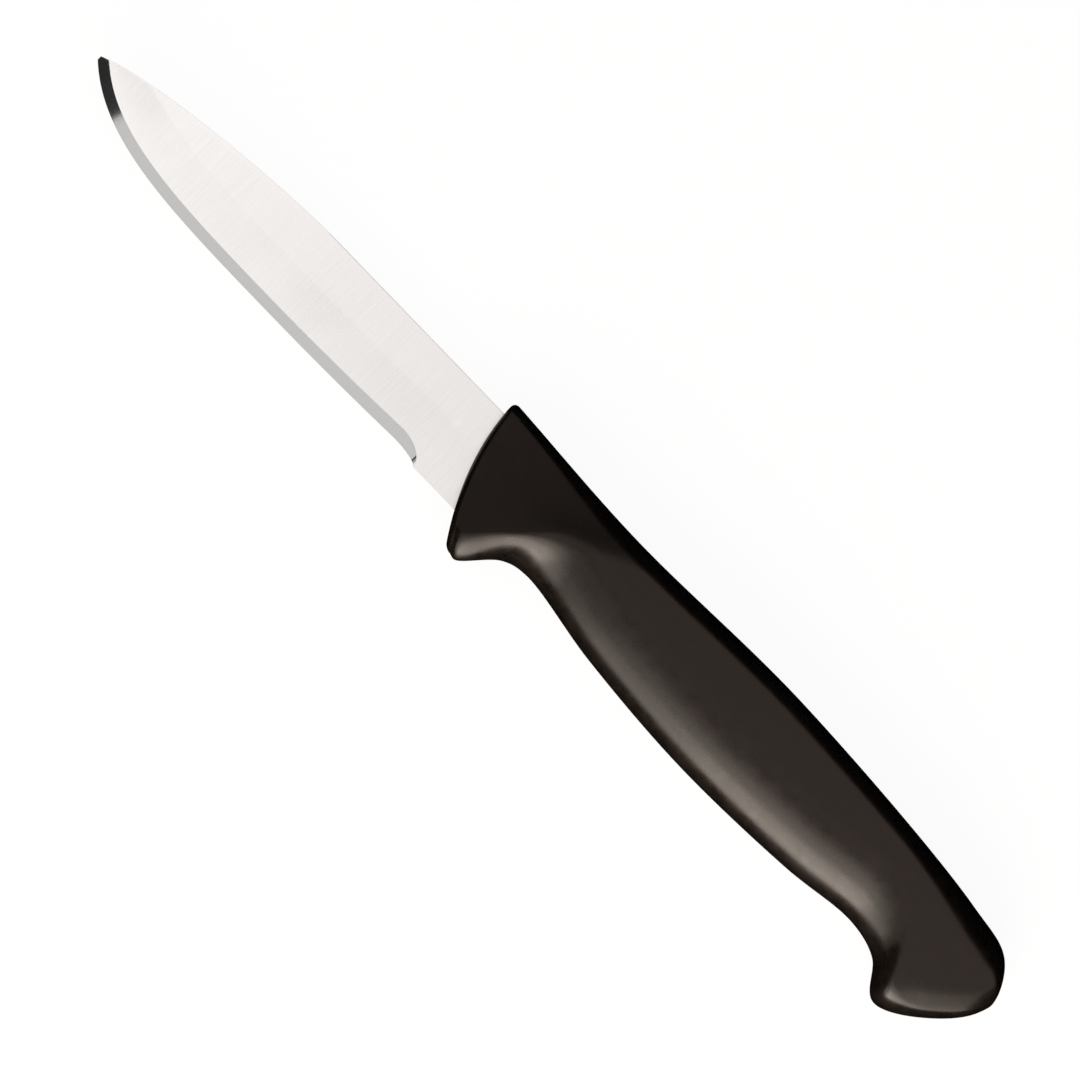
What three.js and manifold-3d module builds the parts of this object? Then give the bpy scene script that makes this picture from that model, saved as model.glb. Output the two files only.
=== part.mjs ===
// A paring knife: a stamped stainless blade whose tang is held in a one-piece moulded plastic handle.
// Millimetres. The knife lies on its right side: +X points to the tip, +Y to the cutting edge, +Z up.
// While it is modelled, X is 0 at the front of the handle, Y on the blade's centre line and Z in its
// mid-plane; "rise" is measured from the centre line towards the spine and "drop" towards the edge.
import * as THREE from "three";
import { mergeVertices } from "three/addons/utils/BufferGeometryUtils.js";
import Module from "manifold-3d";

// Blade: side outline
const BLADE_REACH = 77.4; // front of the handle to the tip
const SPINE_RISE = 7.15; // straight part of the spine
const SPINE_STRAIGHT = 35; // front of the handle to the end of the straight spine
const SPINE_CURVE_START = 9; // pull of the spine's curve where it leaves the straight
const SPINE_CURVE_END = 8.8; // pull of the spine's curve at the tip
const SPINE_TIP_ANGLE = 24; // degrees between the spine and the blade's axis at the tip
const EDGE_DROP = 7.2; // cutting edge at its lowest place
const EDGE_LOWEST_AT = 33; // front of the handle to that place
const EDGE_CURVE_START = 22; // pull of the edge's curve where it leaves the lowest place
const EDGE_CURVE_END = 11.5; // pull of the edge's curve at the tip
const EDGE_TIP_ANGLE = 42; // degrees between the edge and the blade's axis at the tip
const TIP_RISE = 0.8;
const TIP_FLAT = 0.7; // height of the blunted point

// Blade: sheet, taper grind and edge bevel
const STOCK = 1.5; // thickness of the sheet
const GRIND_HEIGHT = 7.8; // top of the taper grind above the edge
const GRIND_HOLLOW = 1.3; // power of the grind's profile: 1 is flat, more is hollow
const BEVEL_THICKNESS = 0.7; // sheet left at the top of the edge bevel
const EDGE_THICKNESS = 0.08;
const BEVEL_WIDTH = 1.7; // edge bevel from the lowest place to the tip
const BEVEL_HEEL_WIDTH = 1.9; // edge bevel at the heel
const HEEL_AT = 8.5; // front of the handle to the full width of the bevel
const HEEL_RISE = 0.5; // the edge is this much higher at the heel than at its lowest place
const PLUNGE_RUN = 4.8; // length of the curve in which the bevel runs out
const RICASSO_PROUD = 0.95; // the unground strip stands below the edge line

// Tang, hidden in the handle
const SHOULDER_AT = 10; // front of the handle to the end of the blade's full width
const TANG_LENGTH = 78; // front of the handle to the end of the tang
const TANG_WIDTH = 9;
const TANG_END_WIDTH = 7;
const TANG_RISE = 0.8; // the tang's middle
const TANG_ROOT = 3; // length in which tang and blade share their sheet
const TANG_HOLE = 5; // diameter of the holes that the plastic fills
const TANG_HOLES_AT = [30, 58]; // front of the handle to each hole
const FIT = 0.1; // clearance all round the blade and the tang in the handle

// Handle: side outline, distances from its front or from its butt
const HANDLE_LENGTH = 109.6;
const CORNER_AT = 0.85; // back, at the front
const CORNER_RISE = 9.4;
const SADDLE_AT = 26; // shallow dip of the back
const SADDLE_RISE = 8.25;
const HUMP_AT = 60; // hump of the back
const HUMP_RISE = 9.1;
const TAIL_FROM_BUTT = 11.6; // back, above the hook
const TAIL_RISE = 6.5;
const BUTT_TURN_FROM_BUTT = 3.2; // back, where it turns down to the butt
const BUTT_TURN_RISE = 4.4;
const BUTT_DROP = 1.8; // rearmost place
const GUARD_FRONT_DROP = 12.45; // finger guard, at the front
const GUARD_FOOT = 1.1; // length of the guard's underside, from the front
const GUARD_DROP = 12.6;
const GUARD_ROOT_AT = 15; // guard, where it runs into the grip
const GUARD_ROOT_DROP = 7.85;
const NECK_AT = 18.8; // narrow place behind the guard
const NECK_DROP = 6.8;
const GRIP_START_AT = 34; // grip, on its way to the swell
const GRIP_START_DROP = 8.8;
const SWELL_AT = 54; // fullest place of the grip
const SWELL_DROP = 10;
const GRIP_END_FROM_BUTT = 34.6; // grip, on its way to the waist
const GRIP_END_DROP = 9.15;
const WAIST_FROM_BUTT = 22.1; // narrow place in front of the hook
const WAIST_DROP = 7.75;
const HOOK_ROOT_FROM_BUTT = 16.4; // hook, where it leaves the grip
const HOOK_ROOT_DROP = 9.2;
const HOOK_FROM_BUTT = 11.7; // point of the hook
const HOOK_DROP = 13.55;
const HEEL_TURN_FROM_BUTT = 2.2; // rear of the hook, where it turns up to the butt
const HEEL_TURN_DROP = 6.85;
const FRONT_SLANT = 8.2; // the guard's front corner lies this far behind the back's
const FRONT_SLANT_FADE = 31; // sections stand square to the axis from here on
const FRONT_BULGE = 1.5; // camber of the front face
const FRONT_BULGE_FADE = 14;
const FRONT_FILLET = 1.3; // rounding of the front face's rim

// Handle: thickness and the rounding of its edges
const GRIP_THICKNESS = 15.5;
const FRONT_THICKNESS = 8.6; // the front part is a wedge that thickens from here to the grip
const WEDGE_END_AT = 13.3; // front of the handle to the end of the wedge, beside the guard
const WEDGE_LEAN = 2.2; // the wedge's end lies this much further back for each length towards the spine
const WEDGE_BEND = 4; // height in which that end turns from upright to leaning
const WEDGE_EASING = 0.14; // share of the wedge's length in which it runs out into the cheek
const BUTT_ROUNDING = 2.2; // rounding between the cheeks and the butt
const BACK_ROUND_FRONT = 1.6; // how far the rounding of the back reaches over the cheek
const BACK_ROUND_GRIP = 2.6;
const BACK_ROUND_BUTT = 4;
const BACK_ROUND_TAPER = 26; // front of the handle to where the grip's rounding is reached
const BACK_POWER = 2.4; // squareness of the rounding: 2 is an ellipse, less is nearer to a chamfer
const GUARD_ROUND = 3.9; // how far the rounding of the guard reaches over the cheek
const GUARD_ROUND_END = 6; // front of the handle to where it begins to change into the belly's
const BELLY_ROUND = 10.4; // how far the rounding of the belly reaches over the cheek
const BELLY_ROUND_START = 22; // front of the handle to where the belly's rounding is reached
const BELLY_ROUND_BUTT = 2.6;
const GUARD_POWER = 1.4;
const GUARD_POWER_END = 2; // front of the handle to where the power begins to change
const BELLY_POWER = 2.2;
const BELLY_POWER_START = 36; // front of the handle to where the belly's power is reached
const GUARD_WALL = 0.5; // share of half the thickness that stands upright below the guard's rounding
const GUARD_WALL_END = 3; // front of the handle to where the wall begins to run out
const SEAM_WALL = 0.03; // same share, along the mould's seam on back and belly
const SEAM_WALL_START = 12; // front of the handle to where only the seam's wall is left
const BUTT_ROUND_START = 26; // the rounding changes into the butt's from here, measured from the butt
const BUTT_ROUND_END = 6; // to here
const HOOK_FALL = 0.2; // share of the thickness that the hook's rear edge loses
const HOOK_FALL_REACH = 5.5; // distance from that edge in which the loss begins
const HOOK_FALL_POWER = 1.25; // power of its growth: 1 is a flat slope
const HOOK_FALL_START = 14; // the loss grows from here, measured from the butt
const HOOK_FALL_END = 8; // to here

// Fineness of the facets
const TIP_LENGTH = 20; // closer columns from here to the tip
const TIP_COLUMNS = 12;
const BLADE_COLUMNS = 24;
const PLUNGE_COLUMNS = 8;
const GRIND_ROWS = 4;
const LEAST_ROW = 0.1; // rows of the blade stay at least this far apart
const BEVEL_ROOM = 0.5; // largest share of the blade's width that the bevel takes at the tip
const GRIND_ROOM = 0.9; // largest share of the blade's width that the grind takes at the tip
const SLOPE_STEP = 0.1; // step in which the slope of the edge is measured
const HANDLE_STATIONS = 64;
const STATION_CROWDING = 0.6; // how much closer the sections stand at both ends than in the middle
const BUTT_LENGTH = 6; // closer sections from here to the butt
const BUTT_STATIONS = 12;
const BACK_ROOM = 0.5; // largest share of half a section that the back's rounding takes
const BELLY_ROOM = 1.4; // same for the belly's
const FILLET_STEPS = 4;
const EDGE_STEPS = 8;
const LAND_STEPS = 6;
const TANG_SEGMENTS = 16; // facets of each curve of the tang
const HALVINGS = 40; // steps in which a place on a curve is found

const wasm = await Module();
wasm.setup();

const { clamp, lerp, smoothstep, degToRad } = THREE.MathUtils;

// Height of a curve where it passes x, between two of its own positions with x rising or falling steadily
function heightAt(curve, start, end, x) {
  const rising = curve.getPoint(end).x > curve.getPoint(start).x;
  let low = start;
  let high = end;
  for (let step = 0; step < HALVINGS; step += 1) {
    const middle = (low + high) / 2;
    if (curve.getPoint(middle).x < x === rising) {
      low = middle;
    } else {
      high = middle;
    }
  }
  return curve.getPoint((low + high) / 2).y;
}

// Closed skin over rings that follow each other towards -X. A ring starts in the mid-plane on the
// edge's side and turns over the top; strips between its top half and its bottom half close each end.
function loft(rings) {
  const size = rings[0].length;
  const last = (rings.length - 1) * size;
  const triangles = [];
  for (let ring = 0; ring < last; ring += size) {
    for (let point = 0; point < size; point += 1) {
      const next = (point + 1) % size;
      triangles.push(ring + point, ring + size + point, ring + size + next);
      triangles.push(ring + point, ring + size + next, ring + next);
    }
  }
  for (let top = 0; top < size / 2; top += 1) {
    const bottom = (size - top) % size;
    const nextBottom = size - top - 1;
    if (top > 0) {
      triangles.push(top, nextBottom, bottom);
      triangles.push(last + top, last + bottom, last + nextBottom);
    }
    if (top + 1 < size / 2) {
      triangles.push(top, top + 1, nextBottom);
      triangles.push(last + top, last + nextBottom, last + top + 1);
    }
  }
  const geometry = new THREE.BufferGeometry();
  geometry.setAttribute("position", new THREE.Float32BufferAttribute(rings.flat(2), 3));
  geometry.setIndex(triangles);
  return geometry;
}

function toSolid(geometry) {
  geometry.deleteAttribute("normal");
  geometry.deleteAttribute("uv");
  const merged = mergeVertices(geometry);
  return new wasm.Manifold(
    new wasm.Mesh({
      numProp: 3,
      vertProperties: new Float32Array(merged.attributes.position.array),
      triVerts: new Uint32Array(merged.index.array),
    }),
  );
}

function toGeometry(solid) {
  const mesh = solid.getMesh();
  const geometry = new THREE.BufferGeometry();
  geometry.setAttribute("position", new THREE.BufferAttribute(mesh.vertProperties, 3));
  geometry.setIndex(new THREE.BufferAttribute(mesh.triVerts, 1));
  geometry.computeVertexNormals();
  return geometry;
}

// Blade
const edgeTip = new THREE.Vector2(BLADE_REACH, -TIP_RISE + TIP_FLAT / 2);
const spineTip = new THREE.Vector2(BLADE_REACH, -TIP_RISE - TIP_FLAT / 2);

// Point that lies a length behind the tip on the slant in which an outline reaches it
function behindTip(tip, degrees, length) {
  const angle = degToRad(degrees);
  return new THREE.Vector2(tip.x - length * Math.cos(angle), tip.y + length * Math.sin(angle));
}

const edgeCurve = new THREE.CubicBezierCurve(
  new THREE.Vector2(EDGE_LOWEST_AT, EDGE_DROP),
  new THREE.Vector2(EDGE_LOWEST_AT + EDGE_CURVE_START, EDGE_DROP),
  behindTip(edgeTip, EDGE_TIP_ANGLE, EDGE_CURVE_END),
  edgeTip,
);
const spineCurve = new THREE.CubicBezierCurve(
  new THREE.Vector2(SPINE_STRAIGHT, -SPINE_RISE),
  new THREE.Vector2(SPINE_STRAIGHT + SPINE_CURVE_START, -SPINE_RISE),
  behindTip(spineTip, -SPINE_TIP_ANGLE, SPINE_CURVE_END),
  spineTip,
);

// Share of the edge bevel that is left on its way to the handle: 1 in front of the heel, 0 on the ricasso
function bevelShare(x) {
  const run = clamp((HEEL_AT - x) / PLUNGE_RUN, 0, 1);
  return Math.sqrt(1 - run * run);
}

// Line of the cutting edge, drawn on past the heel as if the bevel did not run out there
function edgeLine(x) {
  if (x > EDGE_LOWEST_AT) {
    return heightAt(edgeCurve, 0, 1, x);
  }
  const back = Math.min((EDGE_LOWEST_AT - x) / (EDGE_LOWEST_AT - HEEL_AT), 1);
  return EDGE_DROP - HEEL_RISE * back * back;
}

function edgeHeight(x) {
  return edgeLine(x) + RICASSO_PROUD * (1 - bevelShare(x));
}

// Height of the edge bevel above that line, square to it
function fullBevel(x) {
  const toHeel = clamp((EDGE_LOWEST_AT - x) / (EDGE_LOWEST_AT - HEEL_AT), 0, 1);
  const slope = x > EDGE_LOWEST_AT ? (edgeLine(x) - edgeLine(x - SLOPE_STEP)) / SLOPE_STEP : 0;
  return lerp(BEVEL_WIDTH, BEVEL_HEEL_WIDTH, toHeel) * Math.hypot(1, slope);
}

function spineHeight(x) {
  return x > SPINE_STRAIGHT ? heightAt(spineCurve, 0, 1, x) : -SPINE_RISE;
}

// Ring of the blade at x: edge, edge bevel, taper grind, flat and spine, then back on the other side
function bladeRing(x, grow) {
  const edge = edgeHeight(x);
  const width = edge - spineHeight(x);
  const share = bevelShare(x);
  const bevel = fullBevel(x) * share;
  const grindFoot = fullBevel(x) + edge - edgeLine(x);
  const edgeHalf = lerp(BEVEL_THICKNESS, EDGE_THICKNESS, share) / 2;
  const halfThickness = (above) => {
    if (above < bevel) {
      return lerp(edgeHalf, BEVEL_THICKNESS / 2, above / bevel);
    }
    const ground = clamp((above - grindFoot) / (GRIND_HEIGHT - fullBevel(x)), 0, 1);
    return lerp(BEVEL_THICKNESS, STOCK, ground ** GRIND_HOLLOW) / 2;
  };
  const bevelTop = clamp(bevel, LEAST_ROW, width * BEVEL_ROOM);
  const grindTop = Math.min(GRIND_HEIGHT, width * GRIND_ROOM);
  const heights = [0];
  for (let row = 0; row <= GRIND_ROWS; row += 1) {
    heights.push(lerp(bevelTop, grindTop, row / GRIND_ROWS));
  }
  heights.push(width);
  const top = heights.map((above) => {
    const outward = lerp(grow, -grow, above / width);
    return [x, edge - above + outward, halfThickness(above) + grow];
  });
  const bottom = top.map(([along, across, up]) => [along, across, -up]).reverse();
  return [[x, edge + grow, 0], ...top, [x, edge - width - grow, 0], ...bottom];
}

// Blade in front of the tang; grow thickens it on all sides for the pocket in the handle
function bladeBody(grow) {
  const tipStart = BLADE_REACH - TIP_LENGTH;
  const places = [];
  for (let column = 0; column < TIP_COLUMNS; column += 1) {
    places.push(lerp(BLADE_REACH, tipStart, (column / TIP_COLUMNS) ** 2));
  }
  for (let column = 0; column < BLADE_COLUMNS; column += 1) {
    places.push(lerp(tipStart, HEEL_AT, column / BLADE_COLUMNS));
  }
  for (let column = 0; column <= PLUNGE_COLUMNS; column += 1) {
    places.push(HEEL_AT - PLUNGE_RUN * Math.sin((column / PLUNGE_COLUMNS) * (Math.PI / 2)));
  }
  places.push(-SHOULDER_AT - grow);
  return toSolid(loft(places.map((x) => bladeRing(x, grow))));
}

// Tang with its holes; grow widens the plate and narrows the holes
function tangPlate(grow) {
  const root = TANG_ROOT - SHOULDER_AT;
  const half = TANG_WIDTH / 2 + grow;
  const endHalf = TANG_END_WIDTH / 2 + grow;
  const endCentre = TANG_END_WIDTH / 2 - TANG_LENGTH;
  const plate = new THREE.Shape();
  plate.moveTo(root, -TANG_RISE + half);
  plate.lineTo(endCentre, -TANG_RISE + endHalf);
  plate.absarc(endCentre, -TANG_RISE, endHalf, Math.PI / 2, Math.PI * 1.5, false);
  plate.lineTo(root, -TANG_RISE - half);
  plate.closePath();
  for (const at of TANG_HOLES_AT) {
    const hole = new THREE.Path();
    hole.absarc(-at, -TANG_RISE, TANG_HOLE / 2 - grow, 0, Math.PI * 2, true);
    plate.holes.push(hole);
  }
  const depth = STOCK + 2 * grow;
  const options = { depth, bevelEnabled: false, curveSegments: TANG_SEGMENTS };
  const geometry = new THREE.ExtrudeGeometry(plate, options);
  geometry.translate(0, 0, -depth / 2);
  return toSolid(geometry);
}

function bladeSolid(grow) {
  return bladeBody(grow).add(tangPlate(grow));
}

// Handle: side outline from the front of the back, round the butt, to the front of the guard
const butt = (fromButt, height) => new THREE.Vector3(fromButt - HANDLE_LENGTH, height, 0);
const front = (fromFront, height) => new THREE.Vector3(-fromFront, height, 0);
const backPoints = [
  front(CORNER_AT, -CORNER_RISE),
  front(SADDLE_AT, -SADDLE_RISE),
  front(HUMP_AT, -HUMP_RISE),
  butt(TAIL_FROM_BUTT, -TAIL_RISE),
  butt(BUTT_TURN_FROM_BUTT, -BUTT_TURN_RISE),
  butt(0, BUTT_DROP),
];
const bellyPoints = [
  butt(HEEL_TURN_FROM_BUTT, HEEL_TURN_DROP),
  butt(HOOK_FROM_BUTT, HOOK_DROP),
  butt(HOOK_ROOT_FROM_BUTT, HOOK_ROOT_DROP),
  butt(WAIST_FROM_BUTT, WAIST_DROP),
  butt(GRIP_END_FROM_BUTT, GRIP_END_DROP),
  front(SWELL_AT, SWELL_DROP),
  front(GRIP_START_AT, GRIP_START_DROP),
  front(NECK_AT, NECK_DROP),
  front(GUARD_ROOT_AT, GUARD_ROOT_DROP),
  front(CORNER_AT + FRONT_SLANT + GUARD_FOOT, GUARD_DROP),
  front(CORNER_AT + FRONT_SLANT, GUARD_FRONT_DROP),
];
const outline = new THREE.CatmullRomCurve3([...backPoints, ...bellyPoints]);
const buttPosition = (backPoints.length - 1) / (backPoints.length + bellyPoints.length - 1);

const backHeight = (x) => heightAt(outline, 0, buttPosition, x);
const bellyHeight = (x) => heightAt(outline, buttPosition, 1, x);

// Half the handle's thickness at a place on its side: the wedge of the front part, eased into the flat cheek
function cheekHeight(x, y) {
  const wedgeEnd = WEDGE_END_AT + (WEDGE_LEAN * (Math.hypot(y, WEDGE_BEND) - y)) / 2;
  const along = clamp(-x / wedgeEnd, 0, 1 + WEDGE_EASING);
  const easing = Math.max(along - 1 + WEDGE_EASING, 0) ** 2 / (4 * WEDGE_EASING);
  return lerp(FRONT_THICKNESS, GRIP_THICKNESS, along - easing) / 2;
}

// Section of the handle whose back lies at a place on X: two cheeks, each a land between rounded edges
function handleRing(place, inset, advance) {
  const behind = -place;
  const fromButt = HANDLE_LENGTH - behind;
  const slant = FRONT_SLANT * (1 - smoothstep(behind, CORNER_AT, FRONT_SLANT_FADE));
  const back = new THREE.Vector2(place, backHeight(place));
  const belly = new THREE.Vector2(place - slant, bellyHeight(place - slant));
  const middle = back.clone().add(belly).divideScalar(2);
  const half = back.distanceTo(belly) / 2 - inset;
  const across = belly.clone().sub(back).normalize();
  const bulge = FRONT_BULGE * (1 - smoothstep(behind, CORNER_AT, FRONT_BULGE_FADE));
  const toButt = 1 - smoothstep(fromButt, BUTT_ROUND_END, BUTT_ROUND_START);
  const buttTurn = clamp(1 - fromButt / BUTT_ROUNDING, 0, 1);
  const buttLoss = BUTT_ROUNDING * (1 - Math.sqrt(1 - buttTurn * buttTurn));
  const blend = (atFront, atGrip, from, to) => lerp(atFront, atGrip, smoothstep(behind, from, to));
  const backOpen = blend(BACK_ROUND_FRONT, BACK_ROUND_GRIP, 0, BACK_ROUND_TAPER);
  const bellyOpen = blend(GUARD_ROUND, BELLY_ROUND, GUARD_ROUND_END, BELLY_ROUND_START);
  const backRound = Math.min(lerp(backOpen, BACK_ROUND_BUTT, toButt), half * BACK_ROOM);
  const bellyRound = Math.min(lerp(bellyOpen, BELLY_ROUND_BUTT, toButt), half * BELLY_ROOM);
  const bellyPower = blend(GUARD_POWER, BELLY_POWER, GUARD_POWER_END, BELLY_POWER_START);
  const bellyWall = blend(GUARD_WALL, SEAM_WALL, GUARD_WALL_END, SEAM_WALL_START);
  // One edge from the mid-plane up its wall to the cheek: how far in from the edge, and share of the cheek
  const edgePoints = (round, power, wall) => {
    const points = [[0, 0]];
    for (let step = 0; step <= EDGE_STEPS; step += 1) {
      const angle = (step / EDGE_STEPS) * (Math.PI / 2);
      const inward = round * (1 - Math.cos(angle) ** (2 / power));
      points.push([inward, lerp(wall, 1, Math.sin(angle) ** (2 / power))]);
    }
    return points;
  };
  const land = [];
  for (let step = 1; step < LAND_STEPS; step += 1) {
    land.push([lerp(half - bellyRound, backRound - half, step / LAND_STEPS), 1]);
  }
  const bellyEdge = edgePoints(bellyRound, bellyPower, bellyWall);
  const backEdge = edgePoints(backRound, BACK_POWER, SEAM_WALL);
  const top = [
    ...bellyEdge.map(([inward, share]) => [half - inward, share]),
    ...land,
    ...backEdge.map(([inward, share]) => [inward - half, share]).reverse(),
  ];
  const hookFall = HOOK_FALL * (1 - smoothstep(fromButt, HOOK_FALL_END, HOOK_FALL_START));
  const bottom = top.slice(1, -1).map(([along, share]) => [along, -share]).reverse();
  return [...top, ...bottom].map(([along, share]) => {
    const x = middle.x + across.x * along + bulge * (1 - (along / half) ** 2);
    const y = middle.y + across.y * along;
    const nearness = clamp(1 - (half - along) / HOOK_FALL_REACH, 0, 1);
    const left = 1 - hookFall * nearness ** HOOK_FALL_POWER;
    return [x + advance, y, share * left * (cheekHeight(x, y) - buttLoss - inset)];
  });
}

function handleBody() {
  const rings = [];
  for (let step = FILLET_STEPS; step > 0; step -= 1) {
    const angle = (step / FILLET_STEPS) * (Math.PI / 2);
    const inset = FRONT_FILLET * (1 - Math.cos(angle));
    rings.push(handleRing(-CORNER_AT, inset, FRONT_FILLET * Math.sin(angle)));
  }
  const buttStart = BUTT_LENGTH - HANDLE_LENGTH;
  for (let station = 0; station < HANDLE_STATIONS; station += 1) {
    const share = station / HANDLE_STATIONS;
    const crowded = share - (STATION_CROWDING * Math.sin(2 * Math.PI * share)) / (2 * Math.PI);
    rings.push(handleRing(lerp(-CORNER_AT, buttStart, crowded), 0, 0));
  }
  for (let station = 0; station < BUTT_STATIONS; station += 1) {
    const angle = (station / BUTT_STATIONS) * (Math.PI / 2);
    rings.push(handleRing(lerp(buttStart, -HANDLE_LENGTH, Math.sin(angle)), 0, 0));
  }
  return toSolid(loft(rings));
}

// Materials
const steel = new THREE.MeshStandardMaterial({ color: 0xe1dedc, roughness: 0.22, metalness: 1 });
const plastic = new THREE.MeshStandardMaterial({ color: 0x201b17, roughness: 0.3, metalness: 0 });

const blade = new THREE.Mesh(toGeometry(bladeSolid(0)), steel);
blade.name = "blade";
const handle = new THREE.Mesh(toGeometry(handleBody().subtract(bladeSolid(FIT))), plastic);
handle.name = "handle";

// The finished knife stands with the middle of its underside on the origin
const knife = new THREE.Group();
knife.add(blade, handle);
const box = new THREE.Box3().setFromObject(knife);
const centre = box.getCenter(new THREE.Vector3());
knife.position.set(-centre.x, -centre.y, -box.min.z);

export default knife;
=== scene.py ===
import math

import bpy
import numpy as np
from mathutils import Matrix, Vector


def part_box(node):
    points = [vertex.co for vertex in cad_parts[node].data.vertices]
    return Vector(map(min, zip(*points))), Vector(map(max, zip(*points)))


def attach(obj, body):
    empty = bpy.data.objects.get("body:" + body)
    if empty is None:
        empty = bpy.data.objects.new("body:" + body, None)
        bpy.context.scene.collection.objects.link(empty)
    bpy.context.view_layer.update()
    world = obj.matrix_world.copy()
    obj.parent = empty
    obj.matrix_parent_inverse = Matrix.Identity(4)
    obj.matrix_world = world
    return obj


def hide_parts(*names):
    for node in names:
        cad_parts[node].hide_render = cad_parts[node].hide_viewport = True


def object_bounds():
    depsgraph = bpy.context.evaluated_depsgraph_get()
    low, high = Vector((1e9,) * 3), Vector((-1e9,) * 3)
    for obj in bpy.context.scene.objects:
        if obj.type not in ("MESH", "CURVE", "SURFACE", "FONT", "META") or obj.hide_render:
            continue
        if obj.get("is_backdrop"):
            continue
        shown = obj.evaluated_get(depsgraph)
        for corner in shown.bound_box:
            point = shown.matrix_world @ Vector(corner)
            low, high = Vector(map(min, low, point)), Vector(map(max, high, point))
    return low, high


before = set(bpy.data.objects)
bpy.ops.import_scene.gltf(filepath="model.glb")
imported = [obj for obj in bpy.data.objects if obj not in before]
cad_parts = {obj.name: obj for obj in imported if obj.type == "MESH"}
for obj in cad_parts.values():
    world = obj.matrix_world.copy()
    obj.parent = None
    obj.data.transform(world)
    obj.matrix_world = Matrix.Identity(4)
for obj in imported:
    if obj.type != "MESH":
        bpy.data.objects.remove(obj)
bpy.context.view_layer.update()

# Blade and tang in one: 1.5 mm stainless sheet, stamped to its outline, ground thin towards the edge
# on both sides and then bevelled. The tang runs back into the handle, and the plastic that fills its
# two holes holds it there.
MM = 0.001

# Sizes are in millimetres. Places along the knife count from the handle's front, towards the tip; heights
# across it count from the centre line, towards the cutting edge. Rises go the other way, to the spine.
blade_reach = 77.4
spine_rise = 7.15
spine_straight = 35.0  # the spine is straight to here, then curves to the tip
spine_pull_start = 9.0  # how far the curve holds its direction at its start, and at the tip
spine_pull_tip = 8.8
spine_tip_angle = 24.0
edge_drop = 7.2
edge_lowest_at = 33.0
edge_pull_start = 22.0
edge_pull_tip = 11.5
edge_tip_angle = 42.0
tip_rise = 0.8
tip_flat = 0.7  # the point is left this high
stock = 1.5
spine_rounding = 0.14
grind_height = 7.8  # from the edge to where the sheet has its full thickness
grind_hollow = 1.3  # 1 is a flat grind, more is a hollow one
bevel_width = 1.7
bevel_heel_width = 1.9
bevel_thickness = 0.7  # at the bevel's upper line
edge_thickness = 0.08
heel_at = 8.5  # the bevel starts to run out here
heel_rise = 0.5
plunge_run = 4.8  # length of the run-out
ricasso_proud = 0.95  # how far the unground strip beside the handle stands past the edge
shoulder_at = 10.0  # behind the handle's front, as are the tang's other places
shoulder_radius = 2.0
tang_length = 78.0
tang_width = 9.0
tang_end_width = 7.0
tang_rise = 0.8
tang_hole = 5.0
tang_holes_at = (30.0, 58.0)

blade_box_low, blade_box_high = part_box("blade")
handle_front = blade_box_high.x - blade_reach * MM
centre_line = blade_box_low.y + spine_rise * MM
mid_plane = (blade_box_low.z + blade_box_high.z) / 2
datum = np.array((handle_front, centre_line, mid_plane))

curve_points = 400


def curve_to_tip(start, pull_start, tip, pull_tip, degrees):
    """Points of the curve that leaves the straight part level and reaches the tip on a slant."""
    start, tip = np.array(start), np.array(tip)
    slant = math.radians(degrees)
    after_start = start + np.array((pull_start, 0.0))
    before_tip = tip + pull_tip * np.array((-math.cos(slant), math.sin(slant)))
    t = np.linspace(0.0, 1.0, curve_points)[:, None]
    u = 1.0 - t
    return u**3 * start + 3 * u * u * t * after_start + 3 * u * t * t * before_tip + t**3 * tip


edge_curve = curve_to_tip(
    (edge_lowest_at, edge_drop), edge_pull_start,
    (blade_reach, -tip_rise + tip_flat / 2), edge_pull_tip, edge_tip_angle)
spine_curve = curve_to_tip(
    (spine_straight, -spine_rise), spine_pull_start,
    (blade_reach, -tip_rise - tip_flat / 2), spine_pull_tip, -spine_tip_angle)


def spine_height(x):
    if x > spine_straight:
        return float(np.interp(x, spine_curve[:, 0], spine_curve[:, 1]))
    return -spine_rise


def edge_line(x):
    """Height of the cutting edge, drawn on past the heel as if the bevel went on there."""
    if x > edge_lowest_at:
        return float(np.interp(x, edge_curve[:, 0], edge_curve[:, 1]))
    back = min((edge_lowest_at - x) / (edge_lowest_at - heel_at), 1.0)
    return edge_drop - heel_rise * back * back


def bevel_share(x):
    """1 in front of the heel, 0 on the strip beside the handle that is left unground."""
    run = np.clip((heel_at - x) / plunge_run, 0.0, 1.0)
    return float(np.sqrt(1.0 - run * run))


def edge_height(x):
    """Height of the blade's lower outline, with the step down to the unground strip."""
    return edge_line(x) + ricasso_proud * (1.0 - bevel_share(x))


slope_step = 0.1


def full_bevel(x):
    """Height of the edge bevel above the edge line, before it runs out at the heel."""
    to_heel = min(max((edge_lowest_at - x) / (edge_lowest_at - heel_at), 0.0), 1.0)
    slope = (edge_line(x) - edge_line(x - slope_step)) / slope_step if x > edge_lowest_at else 0.0
    return (bevel_width + (bevel_heel_width - bevel_width) * to_heel) * math.hypot(1.0, slope)


# Rows of the mesh from edge to spine, as shares of the bevel, of the grind above it and of the flat. Close
# pairs of rows keep the line between bevel and grind crisp.
bevel_rows = np.array((0.0, 0.3, 0.7, 0.97))
grind_rows = np.concatenate(((0.0, 0.012), np.linspace(0.06, 0.97, 14)))
flat_rows = np.linspace(0.0, 1.0, 7)
spine_turn = np.radians((30.0, 60.0, 90.0))
rows_per_side = len(bevel_rows) + len(grind_rows) + len(flat_rows) + len(spine_turn)

least_bevel_rows = 0.1  # height that the bevel's rows keep where it has run out
most_bevel = 0.5  # shares of the blade's width, for the last stretch at the tip
most_grind = 0.9
most_rounding = 0.05


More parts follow.
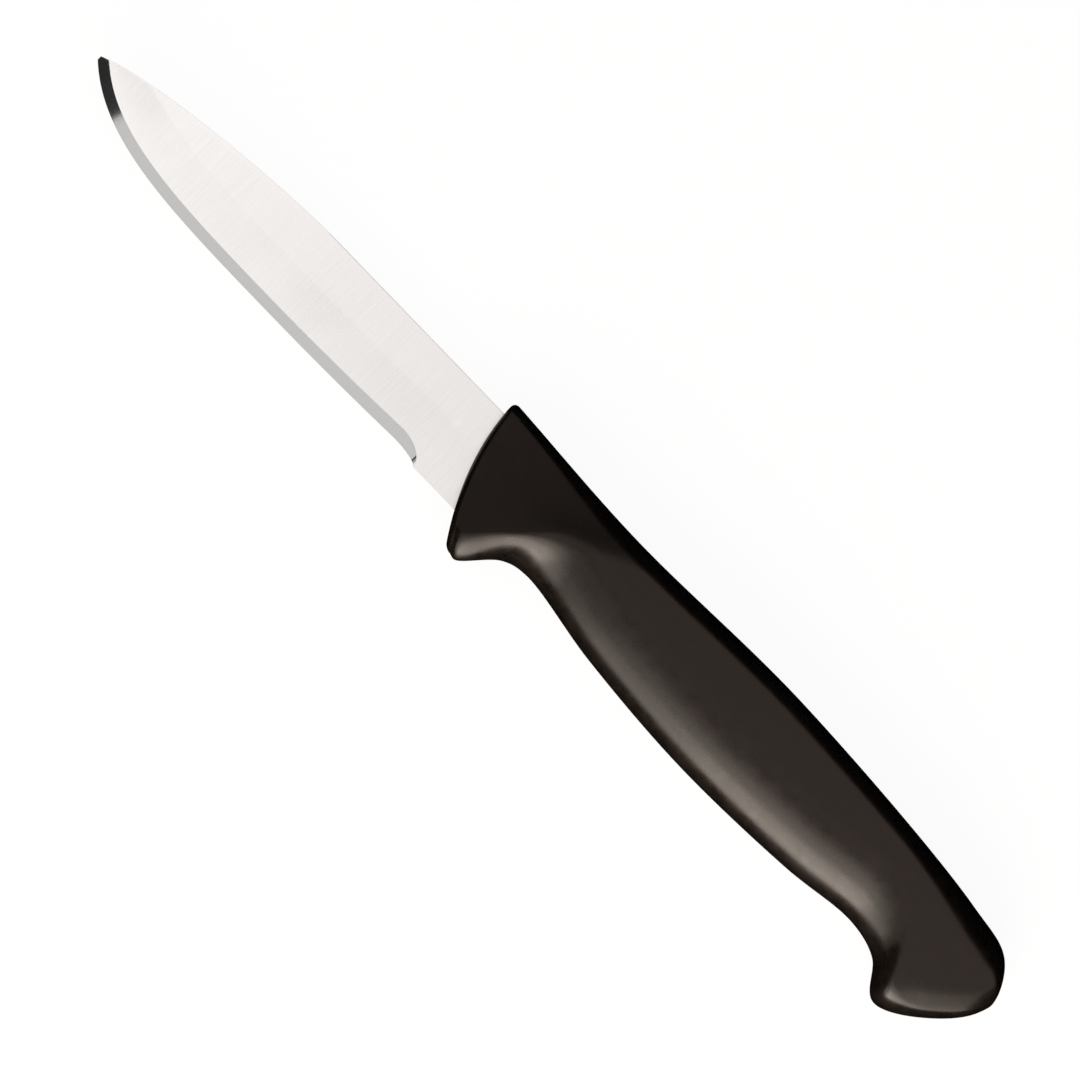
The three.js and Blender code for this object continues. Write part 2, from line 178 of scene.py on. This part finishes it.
def both_sides(x, across, half):
    """A ring of points: those of the upper side, then their mirror images below, on the way back."""
    upper = np.column_stack(np.broadcast_arrays(x, across, half))
    return np.concatenate((upper, upper[::-1] * (1.0, 1.0, -1.0)))


def blade_ring(x, grow):
    """Points round the blade at x, from the edge over its upper side to the spine and back below."""
    edge = edge_height(x)
    width = edge - spine_height(x)
    share = bevel_share(x)
    bevel = full_bevel(x) * share
    bevel_top = min(max(bevel, least_bevel_rows), width * most_bevel)
    turn = min(spine_rounding, width * most_rounding)
    grind_top = min(grind_height, (width - turn) * most_grind)
    above = np.concatenate((
        bevel_top * bevel_rows,
        bevel_top + (grind_top - bevel_top) * grind_rows,
        grind_top + (width - turn - grind_top) * flat_rows,
    ))
    grind_foot = full_bevel(x) + edge - edge_line(x)
    ground = np.clip((above - grind_foot) / (grind_height - full_bevel(x)), 0.0, 1.0)
    half = (bevel_thickness + (stock - bevel_thickness) * ground**grind_hollow) / 2
    edge_half = (bevel_thickness + (edge_thickness - bevel_thickness) * share) / 2
    on_bevel = above < bevel
    half[on_bevel] = edge_half + (bevel_thickness / 2 - edge_half) * above[on_bevel] / bevel
    round_above = width - turn + turn * np.sin(spine_turn)
    round_half = half[-1] - turn * (1.0 - np.cos(spine_turn))
    above = np.concatenate((above, round_above))
    half = np.concatenate((half, round_half))
    across = edge - above + grow * (1.0 - 2.0 * above / width)
    return both_sides(x, across, half + grow)


def tang_ring(x, low, high, grow):
    """As many points round the flat tang, between two heights."""
    across = np.linspace(high + grow, low - grow, rows_per_side)
    return both_sides(x, across, stock / 2 + grow)


# Columns of the mesh along the blade and the tang, closer together where the outline turns.
tip_part = 20.0
tip_columns, tip_crowding = 60, 1.8
body_columns = 90
plunge_columns = 28
past_plunge = 0.4
root_columns = 16
shoulder_columns = 7
tang_columns = 60
tang_end_columns, tang_end_turn = 12, math.radians(84.0)


def blade_rings(grow):
    """Rings from the tip to the tang's end, all of them moved outwards by a clearance."""
    shoulder = -shoulder_at - grow
    columns = np.concatenate((
        blade_reach - tip_part * np.linspace(0.0, 1.0, tip_columns, endpoint=False) ** tip_crowding,
        np.linspace(blade_reach - tip_part, heel_at, body_columns, endpoint=False),
        heel_at - plunge_run * np.sin(np.linspace(0.0, math.pi / 2, plunge_columns)),
        np.linspace(heel_at - plunge_run - past_plunge, shoulder, root_columns),
    ))
    rings = [blade_ring(x, grow) for x in columns]
    full_low, full_high = -spine_rise, edge_height(-shoulder_at)
    half = tang_width / 2
    for angle in np.linspace(0.0, math.pi / 2, shoulder_columns)[1:]:
        x = shoulder - shoulder_radius * (1.0 - math.cos(angle))
        low = full_low + (-tang_rise - half - full_low) * math.sin(angle)
        high = full_high + (-tang_rise + half - full_high) * math.sin(angle)
        rings.append(tang_ring(x, low, high, grow))
    start, end = shoulder - shoulder_radius, tang_end_width / 2 - tang_length
    for x in np.linspace(start, end, tang_columns)[1:]:
        half = (tang_width + (tang_end_width - tang_width) * (start - x) / (start - end)) / 2
        rings.append(tang_ring(x, -tang_rise - half, -tang_rise + half, grow))
    for angle in np.linspace(0.0, tang_end_turn, tang_end_columns)[1:]:
        x = end - (tang_end_width / 2 + grow) * math.sin(angle)
        half = tang_end_width / 2 * math.cos(angle)
        rings.append(tang_ring(x, -tang_rise - half, -tang_rise + half, grow))
    return rings


def new_piece(name, corners, faces):
    """An object in the scene with a mesh of these corners and faces."""
    mesh = bpy.data.meshes.new(name)
    mesh.from_pydata(corners, [], faces)
    piece = bpy.data.objects.new(name, mesh)
    bpy.context.scene.collection.objects.link(piece)
    return piece


def skin(name, rings):
    """A closed mesh over rings, each end closed by strips from the ring's upper half to its lower half."""
    size, count = len(rings[0]), len(rings)
    corners = np.concatenate(rings) * MM + datum
    faces = []
    for this in range(0, (count - 1) * size, size):
        after = this + size
        for point in range(size):
            following = (point + 1) % size
            faces.append((this + point, after + point, after + following, this + following))
    last = (count - 1) * size
    for point in range(size // 2 - 1):
        opposite = size - 1 - point
        faces.append((point, point + 1, opposite - 1, opposite))
        faces.append((last + opposite, last + opposite - 1, last + point + 1, last + point))
    return new_piece(name, corners.tolist(), faces)


peg_sides = 48
peg_half_length = 2.0


def peg(name, x, radius):
    """A round peg across the tang, used to cut one of its holes."""
    turns = np.linspace(0.0, 2.0 * math.pi, peg_sides, endpoint=False)
    circle = np.column_stack((x + radius * np.cos(turns), -tang_rise + radius * np.sin(turns)))
    corners = np.array([(*spot, z) for z in (-peg_half_length, peg_half_length) for spot in circle])
    lower = tuple(range(peg_sides))
    upper = tuple(range(peg_sides, 2 * peg_sides))
    faces = [lower[::-1], upper]
    for side in range(peg_sides):
        following = (side + 1) % peg_sides
        faces.append((lower[side], lower[following], upper[following], upper[side]))
    return new_piece(name, (corners * MM + datum).tolist(), faces)


def cut(piece, tool):
    """Takes the tool's shape out of the piece and removes the tool."""
    step = piece.modifiers.new("cut", "BOOLEAN")
    step.operation = "DIFFERENCE"
    step.solver = "EXACT"
    step.object = tool
    graph = bpy.context.evaluated_depsgraph_get()
    result = bpy.data.meshes.new_from_object(piece.evaluated_get(graph))
    piece.modifiers.clear()
    old = piece.data
    piece.data = result
    bpy.data.meshes.remove(old)
    result.name = piece.name
    bpy.data.objects.remove(tool)


def blade_with_holes(name, grow):
    """Blade and pierced tang, with a clearance all round where it is the handle's pocket."""
    piece = skin(name, blade_rings(grow))
    for at in tang_holes_at:
        cut(piece, peg(name + "_peg", -at, tang_hole / 2 - grow))
    return piece


def linear(code):
    """An sRGB hex colour as linear red, green, blue and alpha."""
    values = [int(code[i:i + 2], 16) / 255 for i in (1, 3, 5)]
    return (*[v / 12.92 if v <= 0.04045 else ((v + 0.055) / 1.055) ** 2.4 for v in values], 1.0)


def node(tree, kind, links=(), inputs=(), **settings):
    """Adds a node, with its settings, its input values and links from (node, output) to its inputs."""
    made = tree.nodes.new(kind)
    for key, value in settings.items():
        setattr(made, key, value)
    for key, value in dict(inputs).items():
        made.inputs[key].default_value = value
    for key, (source, output) in dict(links).items():
        tree.links.new(source.outputs[output], made.inputs[key])
    return made


def new_material(name):
    made = bpy.data.materials.new(name)
    made.use_nodes = True
    made.node_tree.nodes.clear()
    return made


# Stainless steel, belt-ground from spine to edge: fine lines across the blade that scatter the light
# along it, under a faint cloudiness. Lines 0.05 mm apart would not show, so they are drawn 0.3 mm apart.
line_spacing = 0.3 * MM
line_length = 9 * MM
cloud_size = 14 * MM
satin_steel = new_material("stainless_steel_satin_ground")
tree = satin_steel.node_tree
place = node(tree, "ShaderNodeTexCoord")
lines_scale = node(
    tree, "ShaderNodeMapping", {"Vector": (place, "Object")},
    {"Scale": (1 / line_spacing, 1 / line_length, 1 / line_length)})
lines = node(
    tree, "ShaderNodeTexNoise", {"Vector": (lines_scale, "Vector")},
    {"Scale": 1.0, "Detail": 4.0, "Roughness": 0.6})
clouds = node(
    tree, "ShaderNodeTexNoise", {"Vector": (place, "Object")},
    {"Scale": 1 / cloud_size, "Detail": 3.0})
tint = node(
    tree, "ShaderNodeMix", {"Factor": (lines, "Fac")},
    {"A": linear("#dcd8d6"), "B": linear("#e6e3e1")}, data_type="RGBA")
haze = node(
    tree, "ShaderNodeMapRange", {"Value": (clouds, "Fac")},
    {"From Min": 0.3, "From Max": 0.7, "To Min": 0.2, "To Max": 0.25})
scratches = node(
    tree, "ShaderNodeBump", {"Height": (lines, "Fac")},
    {"Strength": 0.25, "Distance": 0.006 * MM})
surface = node(
    tree, "ShaderNodeBsdfPrincipled",
    {"Base Color": (tint, "Result"), "Roughness": (haze, "Result"), "Normal": (scratches, "Normal")},
    {"Metallic": 1.0})
node(tree, "ShaderNodeOutputMaterial", {"Surface": (surface, "BSDF")})

# The same steel, ground again along the edge on a fine wheel: smoother, so that the bevel shows the lights
# sharply. Its lines are finer than the satin ones, and are drawn 0.2 mm apart so that they show.
honed_line_spacing = 0.2 * MM
honed_line_length = 4 * MM
honed_steel = new_material("stainless_steel_honed_edge")
tree = honed_steel.node_tree
place = node(tree, "ShaderNodeTexCoord")
lines_scale = node(
    tree, "ShaderNodeMapping", {"Vector": (place, "Object")},
    {"Scale": (1 / honed_line_spacing, 1 / honed_line_length, 1 / honed_line_length)})
lines = node(
    tree, "ShaderNodeTexNoise", {"Vector": (lines_scale, "Vector")},
    {"Scale": 1.0, "Detail": 3.0})
tint = node(
    tree, "ShaderNodeMix", {"Factor": (lines, "Fac")},
    {"A": linear("#d0cfcd"), "B": linear("#dcdbd9")}, data_type="RGBA")
scratches = node(
    tree, "ShaderNodeBump", {"Height": (lines, "Fac")},
    {"Strength": 0.15, "Distance": 0.004 * MM})
surface = node(
    tree, "ShaderNodeBsdfPrincipled",
    {"Base Color": (tint, "Result"), "Normal": (scratches, "Normal")},
    {"Metallic": 1.0, "Roughness": 0.06})
node(tree, "ShaderNodeOutputMaterial", {"Surface": (surface, "BSDF")})

blade_crease = math.radians(30.0)  # edges sharper than this stay crisp
blade = blade_with_holes("blade_ground", 0.0)
blade.data.materials.append(satin_steel)
blade.data.materials.append(honed_steel)
honed_index = len(blade.data.materials) - 1
for face in blade.data.polygons:
    face.use_smooth = True
    x = (face.center.x - handle_front) / MM
    above = edge_height(x) - (face.center.y - centre_line) / MM
    if x > heel_at - plunge_run and above < full_bevel(x) * bevel_share(x):
        face.material_index = honed_index
blade.data.set_sharp_from_angle(angle=blade_crease)
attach(blade, "root")
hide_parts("blade")

# Handle: black-brown polypropylene, injection moulded in one shot round the tang. A thin front part with
# the finger guard thickens like a wedge into a grip with flat cheeks and a full belly, which ends in a
# hooked butt. A narrow plain strip runs round it where the mould's two halves met.
fit = 0.1  # clearance of the pocket round blade and tang
handle_length = 109.6
grip_thickness = 15.5
front_thickness = 8.6
ramp_end = 13.3  # on the side of the edge, the wedge ends this far behind the front
ramp_lean = 2.2  # towards the back it ends later, by this much for each millimetre
ramp_bend = 4.0  # how softly that end turns, near the centre line
ramp_easing = 0.14  # share of the wedge over which it eases into the grip
corner_at = 0.85  # the front's upper corner, behind the handle's front
front_slant = 8.2  # the front runs back by this much from there down to the guard
front_slant_fade = 31.0  # sections further back than this stand straight across
front_bulge = 1.5  # camber of the front
front_bulge_fade = 14.0
front_fillet = 1.3

# Edges are rounded as parts of superellipses: power 2 is an ellipse, more is boxier. Each reaches in over
# the cheek by its own amount at the front, along the grip and at the butt.
back_round_front = 1.6
back_round_grip = 2.6
back_round_butt = 4.0
back_taper = (0.0, 26.0)  # stretch behind the front over which the first turns into the second
belly_round_front = 3.9
belly_round_grip = 10.4
belly_round_butt = 2.6
belly_taper = (6.0, 22.0)
round_to_butt = (6.0, 26.0)  # stretch before the butt over which the second turns into the third
most_back_round = 0.5  # shares of half the handle's width
most_belly_round = 1.4
back_power = 2.4
guard_power = 1.4
belly_power = 2.2
power_fade = (2.0, 36.0)  # stretch over which the guard's turns into the belly's
guard_wall = 0.5  # share of the height that stands upright before the rounding starts
seam_wall = 0.03
wall_fade = (3.0, 12.0)
butt_rounding = 3.0
butt_power = 2.6
hook_fall = 0.2  # share of its height that the cheek loses towards the hook's rear edge
hook_fall_reach = 6.5
hook_fall_power = 1.7
hook_fall_fade = (8.0, 14.0)

butt_end = -handle_length
guard_front = -corner_at - front_slant
back_points = [
    (-corner_at, -9.4),  # upper corner of the front
    (-26.0, -8.25),  # shallow dip behind it
    (-60.0, -9.1),  # crown of the back
    (butt_end + 11.6, -6.5),  # fall towards the butt
    (butt_end + 3.2, -4.4),
    (butt_end, 1.8),  # rearmost point
]
belly_points = [
    (butt_end + 2.2, 6.85),  # slanted end of the butt
    (butt_end + 11.7, 13.55),  # point of the hook
    (butt_end + 16.4, 9.2),  # its flank
    (butt_end + 22.1, 7.75),  # waist
    (butt_end + 34.6, 9.15),
    (-54.0, 10.0),  # fullest part of the belly
    (-34.0, 8.8),
    (-18.8, 6.8),  # notch for the finger
    (-15.0, 7.85),
    (guard_front - 1.1, 12.6),  # lowest point of the guard
    (guard_front, 12.45),
]


def drawn_through(points, steps):
    """A smooth curve through the points, as many steps between each two, tighter where they are close."""
    points = np.array(points)
    points = np.vstack((2 * points[0] - points[1], points, 2 * points[-1] - points[-2]))
    drawn = []
    for p0, p1, p2, p3 in zip(points, points[1:], points[2:], points[3:]):
        d0, d1, d2 = (math.sqrt(np.linalg.norm(b - a)) for a, b in ((p0, p1), (p1, p2), (p2, p3)))
        t1 = ((p1 - p0) / d0 - (p2 - p0) / (d0 + d1) + (p2 - p1) / d1) * d1
        t2 = ((p2 - p1) / d1 - (p3 - p1) / (d1 + d2) + (p3 - p2) / d2) * d1
        t = np.linspace(0.0, 1.0, steps, endpoint=False)[:, None]
        squared = 3 * (p2 - p1) - 2 * t1 - t2
        cubed = 2 * (p1 - p2) + t1 + t2
        drawn.append(p1 + t1 * t + squared * t**2 + cubed * t**3)
    return np.vstack((*drawn, points[-2]))


steps_between = 200
outline = drawn_through(back_points + belly_points, steps_between)
butt_step = (len(back_points) - 1) * steps_between
back_line = outline[:butt_step + 1][::-1]
belly_line = outline[butt_step:]


def smooth(value, start, end):
    """0 before the start, 1 past the end, and an even turn between."""
    share = np.clip((value - start) / (end - start), 0.0, 1.0)
    return share * share * (3.0 - 2.0 * share)


def cheek_height(x, y):
    """Half the handle's thickness at a place on its side."""
    to_back = (np.hypot(y, ramp_bend) - y) / 2
    along = np.clip(-x / (ramp_end + ramp_lean * to_back), 0.0, 1.0 + ramp_easing)
    eased = along - np.maximum(along - 1.0 + ramp_easing, 0.0) ** 2 / (4 * ramp_easing)
    return (front_thickness + (grip_thickness - front_thickness) * eased) / 2


def round_reach(front, grip, butt, taper, behind):
    """How far a rounding reaches in over the cheek, this far behind the front."""
    open_reach = front + (grip - front) * smooth(behind, *taper)
    to_butt = 1.0 - smooth(handle_length - behind, *round_to_butt)
    return open_reach + (butt - open_reach) * to_butt


# Points of a ring round the handle: on each rounding, and on the flat land of the cheek between the two.
round_points = 22
land_points = 12
edge_turn = np.linspace(0.0, math.pi / 2, round_points)
land_steps = np.linspace(0.0, 1.0, land_points + 2)[1:-1]


def rounding(reach, power, wall):
    """How far in from an edge, and share of the cheek's height, from the mid-plane up to the cheek."""
    cosine, sine = np.cos(edge_turn), np.sin(edge_turn)
    cosine[-1] = 0.0  # exactly, so that the rounding meets the land
    inward = reach * (1.0 - cosine ** (2 / power))
    share = wall + (1.0 - wall) * sine ** (2 / power)
    return inward, share


def handle_ring(place, inset, advance):
    """Points round the handle at one of its sections, from the belly over the upper cheek to the back."""
    behind, from_butt = -place, handle_length + place

    # The section's line across the knife, from the back to the belly, slanted near the front.
    slant = front_slant * (1.0 - smooth(behind, corner_at, front_slant_fade))
    back = np.array((place, np.interp(place, back_line[:, 0], back_line[:, 1])))
    belly = np.array((place - slant, np.interp(place - slant, belly_line[:, 0], belly_line[:, 1])))
    middle, chord = (back + belly) / 2, np.linalg.norm(belly - back)
    half, across = chord / 2 - inset, (belly - back) / chord

    # Places along that line, and what share of the cheek's height each has.
    belly_reach = round_reach(belly_round_front, belly_round_grip, belly_round_butt, belly_taper, behind)
    back_reach = round_reach(back_round_front, back_round_grip, back_round_butt, back_taper, behind)
    power = guard_power + (belly_power - guard_power) * smooth(behind, *power_fade)
    wall = guard_wall + (seam_wall - guard_wall) * smooth(behind, *wall_fade)
    belly_inward, belly_share = rounding(min(belly_reach, half * most_belly_round), power, wall)
    back_inward, back_share = rounding(min(back_reach, half * most_back_round), back_power, seam_wall)
    land_from, land_to = half - belly_inward[-1], back_inward[-1] - half
    land = land_from + (land_to - land_from) * land_steps
    along = np.concatenate((half - belly_inward, land, (back_inward - half)[::-1]))
    share = np.concatenate((belly_share, np.ones(len(land)), back_share[::-1]))

    # The cheek itself, cambered at the front, rounded at the butt and falling off along the hook.
    bulge = front_bulge * (1.0 - smooth(behind, corner_at, front_bulge_fade))
    x = middle[0] + across[0] * along + bulge * (1.0 - (along / half) ** 2)
    y = middle[1] + across[1] * along
    turn = np.clip(1.0 - from_butt / butt_rounding, 0.0, 1.0)
    butt_loss = butt_rounding * (1.0 - (1.0 - turn**butt_power) ** (1 / butt_power))
    from_edge = np.clip(1.0 - (half - along) / hook_fall_reach, 0.0, 1.0)
    fall = hook_fall * (1.0 - smooth(from_butt, *hook_fall_fade)) * from_edge**hook_fall_power
    height = share * (cheek_height(x, y) - butt_loss - inset) * (1.0 - fall)
    return both_sides(x + advance, y, height)


# Rings along the handle, closer together at both ends.
fillet_rings = 10
grip_rings, grip_crowding = 230, 0.6
butt_rings, butt_part = 44, 6.0


def handle_rings():
    rings = []
    for angle in np.linspace(math.pi / 2, 0.0, fillet_rings, endpoint=False):
        inset, advance = front_fillet * (1.0 - math.cos(angle)), front_fillet * math.sin(angle)
        rings.append(handle_ring(-corner_at, inset, advance))
    butt_start = butt_part - handle_length
    share = np.linspace(0.0, 1.0, grip_rings, endpoint=False)
    crowded = share - grip_crowding * np.sin(2 * math.pi * share) / (2 * math.pi)
    grip_places = -corner_at + (butt_start + corner_at) * crowded
    butt_turns = np.linspace(0.0, math.pi / 2, butt_rings, endpoint=False)
    butt_places = butt_start - butt_part * np.sin(butt_turns)
    for place in np.concatenate((grip_places, butt_places)):
        rings.append(handle_ring(place, 0.0, 0.0))
    return rings


# Polypropylene, moulded against a spark-eroded cavity: a matt grain, drawn 0.35 mm wide so that it shows,
# and a mottling of about 2 mm, both of which break up the highlights. The body colour varies a little.
grain_size = 0.35 * MM
mottle_size = 2.2 * MM
mottle_height = 2.0  # as a multiple of the grain's
grained_plastic = new_material("polypropylene_moulded_fine_grain")
tree = grained_plastic.node_tree
place = node(tree, "ShaderNodeTexCoord")
grain = node(
    tree, "ShaderNodeTexNoise", {"Vector": (place, "Object")},
    {"Scale": 1 / grain_size, "Detail": 3.0, "Roughness": 0.6})
mottle = node(
    tree, "ShaderNodeTexNoise", {"Vector": (place, "Object")},
    {"Scale": 1 / mottle_size, "Detail": 4.0, "Roughness": 0.65})
patches = node(
    tree, "ShaderNodeMapRange", {"Value": (mottle, "Fac")},
    {"From Min": 0.3, "From Max": 0.7})
tint = node(
    tree, "ShaderNodeMix", {"Factor": (patches, "Result")},
    {"A": linear("#0d0a08"), "B": linear("#19130f")}, data_type="RGBA")
sheen = node(
    tree, "ShaderNodeMapRange", {"Value": (mottle, "Fac")},
    {"From Min": 0.3, "From Max": 0.7, "To Min": 0.25, "To Max": 0.34})
height = node(
    tree, "ShaderNodeMath", {0: (mottle, "Fac"), 2: (grain, "Fac")},
    {1: mottle_height}, operation="MULTIPLY_ADD")
relief = node(
    tree, "ShaderNodeBump", {"Height": (height, "Value")},
    {"Strength": 0.35, "Distance": 0.02 * MM})
surface = node(
    tree, "ShaderNodeBsdfPrincipled",
    {"Base Color": (tint, "Result"), "Roughness": (sheen, "Result"), "Normal": (relief, "Normal")},
    {"IOR": 1.49, "Specular IOR Level": 0.5})
node(tree, "ShaderNodeOutputMaterial", {"Surface": (surface, "BSDF")})

handle_crease = math.radians(35.0)
handle = skin("handle_moulded", handle_rings())
cut(handle, blade_with_holes("tang_pocket", fit))
handle.data.materials.append(grained_plastic)
for face in handle.data.polygons:
    face.use_smooth = True
handle.data.set_sharp_from_angle(angle=handle_crease)
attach(handle, "root")
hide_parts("handle")

# Floor: white matt card that the knife lies on. In reflections all of its white is its own, for the camera
# most of it, and the rest is lit, so that the knife's shadow stays. From here on, sizes are in metres.
floor_half = 3.0
floor_drop = 0.05 * MM  # keeps the card clear of the cheek that lies on it
own_white = 0.92
floor_corners = [
    (-floor_half, -floor_half, 0.0), (floor_half, -floor_half, 0.0),
    (floor_half, floor_half, 0.0), (-floor_half, floor_half, 0.0),
]
floor = new_piece("floor", floor_corners, [(0, 1, 2, 3)])
floor.location.z = -floor_drop
white_card = new_material("white_card_matt")
tree = white_card.node_tree
path = node(tree, "ShaderNodeLightPath")
mirrored = node(
    tree, "ShaderNodeMath", {0: (path, "Is Glossy Ray"), 1: (path, "Is Transmission Ray")},
    operation="MAXIMUM")
seen = node(tree, "ShaderNodeMath", {0: (path, "Is Camera Ray")}, {1: own_white}, operation="MULTIPLY")
own_share = node(
    tree, "ShaderNodeMath", {0: (seen, "Value"), 1: (mirrored, "Value")},
    operation="MAXIMUM")
lit = node(tree, "ShaderNodeBsdfDiffuse", (), {"Color": linear("#f7f7f7")})
own = node(tree, "ShaderNodeEmission", (), {"Strength": 1.0})
both = node(
    tree, "ShaderNodeMixShader",
    {"Fac": (own_share, "Value"), 1: (lit, "BSDF"), 2: (own, "Emission")})
node(tree, "ShaderNodeOutputMaterial", {"Surface": (both, "Shader")})
white_card.cycles.emission_sampling = "NONE"
floor.data.materials.append(white_card)
floor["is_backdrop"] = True

# Light: soft panels side by side overhead, a key light of soft boxes close by on the side of edge and butt,
# brightest near the floor, and a dim room. Black flags keep each panel to the blade, the handle or the
# floor, and the key off the blade.
room_light = 0.03
world = bpy.data.worlds.new("studio")
bpy.context.scene.world = world
world.use_nodes = True
world.node_tree.nodes.clear()
room = node(
    world.node_tree, "ShaderNodeBackground", (),
    {"Color": linear("#ffffff"), "Strength": room_light})
node(world.node_tree, "ShaderNodeOutputWorld", {"Surface": (room, "Background")})


def shine_only_on(light, *pieces):
    """Keeps a light off everything but these pieces, as black flags would."""
    lit = bpy.data.collections.new("lit_by_" + light.name)
    for piece in pieces:
        lit.objects.link(piece)
    light.light_linking.receiver_collection = lit


def soft_box(name, centre, towards, width, height, radiance, colour):
    """A rectangular light that faces a point and that the camera doesn't see."""
    lamp = bpy.data.lights.new(name, "AREA")
    lamp.shape = "RECTANGLE"
    lamp.size = width
    lamp.size_y = height
    lamp.energy = radiance * math.pi * width * height
    lamp.color = linear(colour)[:3]
    box = bpy.data.objects.new(name, lamp)
    box.location = centre
    aim = np.array(towards) - np.array(centre)
    box.rotation_euler = Vector(aim).to_track_quat("-Z", "Y").to_euler()
    box.visible_camera = False
    bpy.context.scene.collection.objects.link(box)
    return box


# Each panel: its name, where it starts and ends along x and along y, its radiance, its colour, what it
# lights. The stretch of ceiling that the bevel mirrors at the tip has none, so the bevel is dark there.
panel_height = 0.7
white_light, warm_light = "#ffffff", "#ffe6da"
panels = (
    ("panel_over_heel", -0.50, 0.05, -0.50, 0.195, 1.02, white_light, blade),
    ("panel_over_blade", 0.05, 0.13, -0.50, 0.03, 1.12, white_light, blade),
    ("panel_over_edge", 0.05, 0.13, 0.03, 0.195, 1.19, white_light, blade),
    ("panel_over_tip", 0.13, 0.42, -0.50, 0.10, 1.30, white_light, blade),
    ("panel_by_tip", 0.13, 0.26, 0.10, 0.195, 1.30, white_light, blade),
    ("panel_over_handle", -0.11, -0.05, -0.15, 0.15, 0.54, warm_light, handle),
    ("panel_over_butt", -0.45, -0.11, -0.15, 0.15, 0.84, warm_light, handle),
    ("panel_over_guard", -0.05, 0.09, -0.15, 0.15, 0.84, warm_light, handle),
    ("panel_beyond_handle", 0.15, 0.60, -0.38, 0.25, 0.30, warm_light, handle),
    ("panel_on_edge_side", -0.45, 0.252, 0.20, 0.40, 0.77, white_light, blade),
    ("panel_beyond_tip", 0.30, 0.95, 0.25, 0.45, 0.57, white_light, blade),
    ("panel_beside_handle", -0.45, 0.238, 0.20, 0.40, 0.77, warm_light, handle),
    ("panel_over_floor", -0.60, 0.60, -0.60, 0.60, 1.65, white_light, floor),
)
for name, x_from, x_to, y_from, y_to, radiance, colour, piece in panels:
    x, y = (x_from + x_to) / 2, (y_from + y_to) / 2
    width, depth = x_to - x_from, y_to - y_from
    panel = soft_box(name, (x, y, panel_height), (x, y, 0.0), width, depth, radiance, colour)
    shine_only_on(panel, piece)

# The key's soft boxes stand in a ring round the knife. Bands are degrees above the floor; turns are degrees
# from the edge's side towards the butt, each with the radiance of its boxes from the lowest band up.
key_distance = 0.3
key_colour = "#fff0e2"
key_bands = ((3.0, 22.0), (22.0, 40.0), (40.0, 58.0))
key_turns = (
    (-12.0, 12.0, (2.9, 1.95, 0.8)),
    (12.0, 28.0, (7.4, 5.6, 1.75)),
    (28.0, 46.0, (6.0, 4.4, 1.75)),
    (46.0, 66.0, (2.8, 2.8, 1.4)),
)
for turn_from, turn_to, radiances in key_turns:
    turn = math.radians((turn_from + turn_to) / 2)
    width = 2 * key_distance * math.tan(math.radians((turn_to - turn_from) / 2))
    for (low, high), radiance in zip(key_bands, radiances):
        rise = math.radians((low + high) / 2)
        level = math.cos(rise)
        direction = np.array((-math.sin(turn) * level, math.cos(turn) * level, math.sin(rise)))
        height = 2 * key_distance * math.tan(math.radians((high - low) / 2))
        box = soft_box(
            f"key_soft_box_{turn_from:.0f}_{low:.0f}", key_distance * direction, (0.0, 0.0, 0.0),
            width, height, radiance, key_colour)
        shine_only_on(box, handle, floor)

# White walls round the set, painted, which only the blade's reflections see. They stop half-way up, and
# the dark of the room shows above them. The floor's own white, too, is kept out of the handle's gloss.
wall_radius = 2.5
wall_light = 0.75
wall_top, wall_rise_step, wall_turn_step = 48, 12, 15  # degrees
wall_turns = np.radians(np.arange(0, 360, wall_turn_step))
wall_rises = np.radians(np.arange(0, wall_top + 1, wall_rise_step))
around = len(wall_turns)
wall_corners = []
for rise in wall_rises:
    for turn in wall_turns:
        level = math.cos(rise)
        direction = np.array((math.cos(turn) * level, math.sin(turn) * level, math.sin(rise)))
        wall_corners.append(wall_radius * direction)
wall_faces = []
for this in range(0, (len(wall_rises) - 1) * around, around):
    above = this + around
    for i in range(around):
        following = (i + 1) % around
        wall_faces.append((this + i, above + i, above + following, this + following))
walls = new_piece("white_walls", wall_corners, wall_faces)
walls.visible_camera = False
walls.visible_diffuse = False
walls.visible_shadow = False
walls.visible_transmission = False
white_paint = new_material("white_wall_paint")
tree = white_paint.node_tree
glow = node(tree, "ShaderNodeEmission", (), {"Strength": wall_light})
node(tree, "ShaderNodeOutputMaterial", {"Surface": (glow, "Emission")})
white_paint.cycles.emission_sampling = "NONE"
walls.data.materials.append(white_paint)
shine_only_on(walls, blade)
walls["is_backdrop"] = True
shine_only_on(floor, blade)

# Camera: straight above, with a long lens, so that the knife shows with little perspective. It is turned
# as in the photograph, with the tip at the upper left.
picture_width = 155.58 * MM
picture_middle_x = -0.57 * MM
picture_middle_y = -0.27 * MM
picture_turn = math.radians(-134.0)
camera_data = bpy.data.cameras.new("camera")
camera_data.lens = 200.0
camera_data.sensor_width = 36.0
camera_distance = picture_width * camera_data.lens / camera_data.sensor_width
camera = bpy.data.objects.new("camera", camera_data)
camera.location = (picture_middle_x, picture_middle_y, mid_plane + camera_distance)
camera.rotation_euler = (0.0, 0.0, picture_turn)
bpy.context.scene.collection.objects.link(camera)
bpy.context.scene.camera = camera

bpy.context.scene.view_settings.view_transform = "Standard"

low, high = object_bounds()
